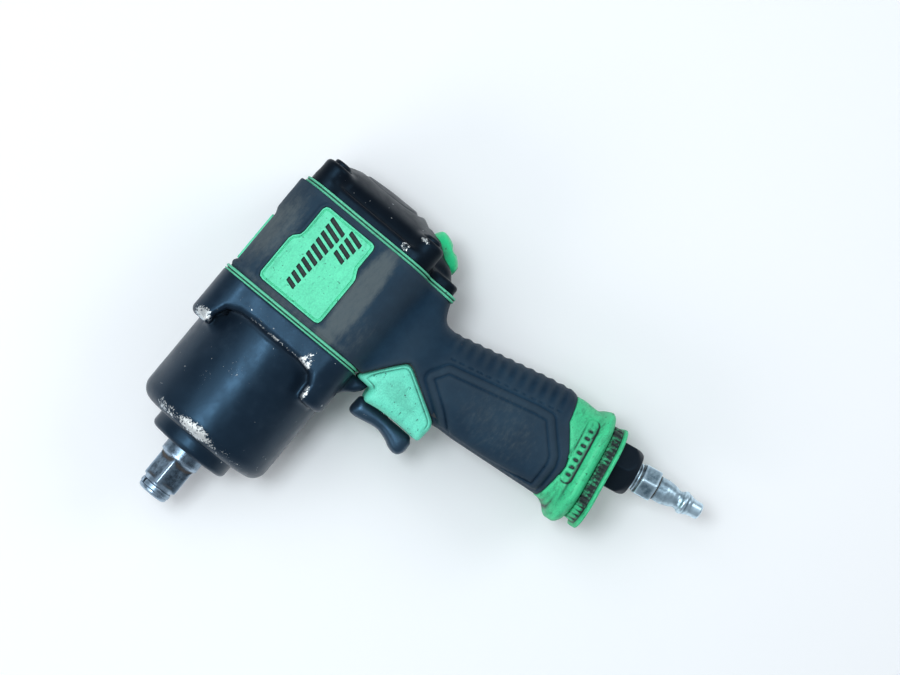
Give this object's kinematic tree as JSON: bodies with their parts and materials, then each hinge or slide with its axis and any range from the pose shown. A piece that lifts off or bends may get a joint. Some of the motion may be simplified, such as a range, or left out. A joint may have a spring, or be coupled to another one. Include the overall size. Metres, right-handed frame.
{
  "type": "pneumatic impact wrench",
  "caption": "Pistol-grip air impact wrench with a square drive, painted hammer case, rubber-covered motor housing, green trim, trigger, regulator dial and quick-connect air plug",
  "frame": {"origin": "centre of the front tip of the anvil, on the barrel axis", "axes": "+X along the barrel to the rear, +Y to the top of the tool, +Z to its left side; the tool lies on its right side"},
  "size_m": [0.1746, 0.2354, 0.074],
  "materials": {
    "case_paint": "gloss black, scuffed",
    "green_gasket": "satin green",
    "housing_composite": "matte",
    "sleeve_rubber": "matte, dusty",
    "badge_green": "matte, grimy",
    "surround_green": "satin",
    "base_green": "satin, grimy",
    "cap_black": "satin black, worn",
    "dial_green": "satin",
    "trigger_black": "satin",
    "black_oxide": "black, worn edges",
    "plug_steel": "worn plating",
    "anvil_steel": "worn",
    "bolt_steel": "zinc",
    "spring_steel": "bright",
    "bronze": "machined",
    "seal_rubber": "matte",
    "hammer_steel": "machined",
    "motor_steel": "ground",
    "vane_composite": "matte",
    "bearing_steel": "polished",
    "valve_aluminium": "machined",
    "muffler_felt": "porous"
  },
  "bodies": {
    "tool": {"hammer_case": "case_paint", "front_gasket": "green_gasket", "rear_gasket": "green_gasket", "motor_housing": "housing_composite", "rubber_sleeve": "sleeve_rubber", "side_badge_left": "badge_green", "side_badge_right": "badge_green", "top_badge": "badge_green", "trigger_surround": "surround_green", "grip_base": "base_green", "exhaust_cover": "base_green", "rear_cap": "cap_black", "inlet_bushing": "black_oxide", "air_plug": "plug_steel", "case_bolts": "bolt_steel", "bolt_washers": "bolt_steel", "liner_dowel": "bolt_steel", "detent_ball": "bolt_steel", "detent_spring": "spring_steel", "valve_spring": "spring_steel", "inlet_screen": "spring_steel", "anvil_bushing": "bronze", "trigger_bushing": "bronze", "valve_seat": "bronze", "spring_seat": "bronze", "anvil_seal": "seal_rubber", "bushing_o_ring": "seal_rubber", "front_end_plate": "motor_steel", "rear_end_plate": "motor_steel", "cylinder_liner": "motor_steel", "front_bearing_outer": "bearing_steel", "rear_bearing_outer": "bearing_steel", "muffler": "muffler_felt"},
    "rotor": {"rotor": "motor_steel", "rotor_vanes": "vane_composite", "hammer_cage": "hammer_steel", "hammer_pins": "bolt_steel", "front_bearing_inner": "bearing_steel", "rear_bearing_inner": "bearing_steel", "bearing_balls": "bearing_steel"},
    "anvil": {"anvil": "anvil_steel", "friction_ring": "anvil_steel", "friction_o_ring": "seal_rubber"},
    "front_hammer": {"hammer_front": "hammer_steel"},
    "rear_hammer": {"hammer_rear": "hammer_steel"},
    "trigger": {"trigger": "trigger_black", "trigger_rod": "bolt_steel", "trigger_pin": "bolt_steel"},
    "throttle": {"throttle_valve": "motor_steel"},
    "regulator": {"reverse_valve": "valve_aluminium", "regulator_dial": "dial_green", "dial_screw": "bolt_steel", "valve_o_ring": "seal_rubber"}
  },
  "joints": [
    {"name": "rotor_spin", "type": "hinge", "parent": "tool", "child": "rotor", "pos_m": [0.1245, 0, 0], "axis": [1, 0, 0], "continuous": true},
    {"name": "anvil_spin", "type": "hinge", "parent": "tool", "child": "anvil", "pos_m": [0.037, 0, 0], "axis": [1, 0, 0], "continuous": true},
    {"name": "front_hammer_rock", "type": "hinge", "parent": "rotor", "child": "front_hammer", "pos_m": [0.0575, 0.0205, 0], "axis": [1, 0, 0], "range_deg": [-2.5, 2.5]},
    {"name": "rear_hammer_rock", "type": "hinge", "parent": "rotor", "child": "rear_hammer", "pos_m": [0.0705, -0.0205, 0], "axis": [1, 0, 0], "range_deg": [-2.5, 2.5]},
    {"name": "trigger_pull", "type": "slide", "parent": "tool", "child": "trigger", "axis": [1, 0, 0], "range_m": [0, 0.005], "stiffness_N_per_m": 700, "springref_m": -0.004},
    {"name": "throttle_tilt", "type": "hinge", "parent": "tool", "child": "throttle", "pos_m": [0.12255, -0.07755, 0], "axis": [0, 0, -1], "range_deg": [0, 15.01], "deforming": ["valve_spring"]},
    {"name": "regulator_turn", "type": "hinge", "parent": "tool", "child": "regulator", "pos_m": [0.166, -0.0323, 0], "axis": [0.8387, -0.5446, 0], "range_deg": [-45, 45]}
  ],
  "couplings": [
    {"joint": "throttle_tilt", "follows": "trigger_pull", "rad_per_m": 52.36}
  ]
}
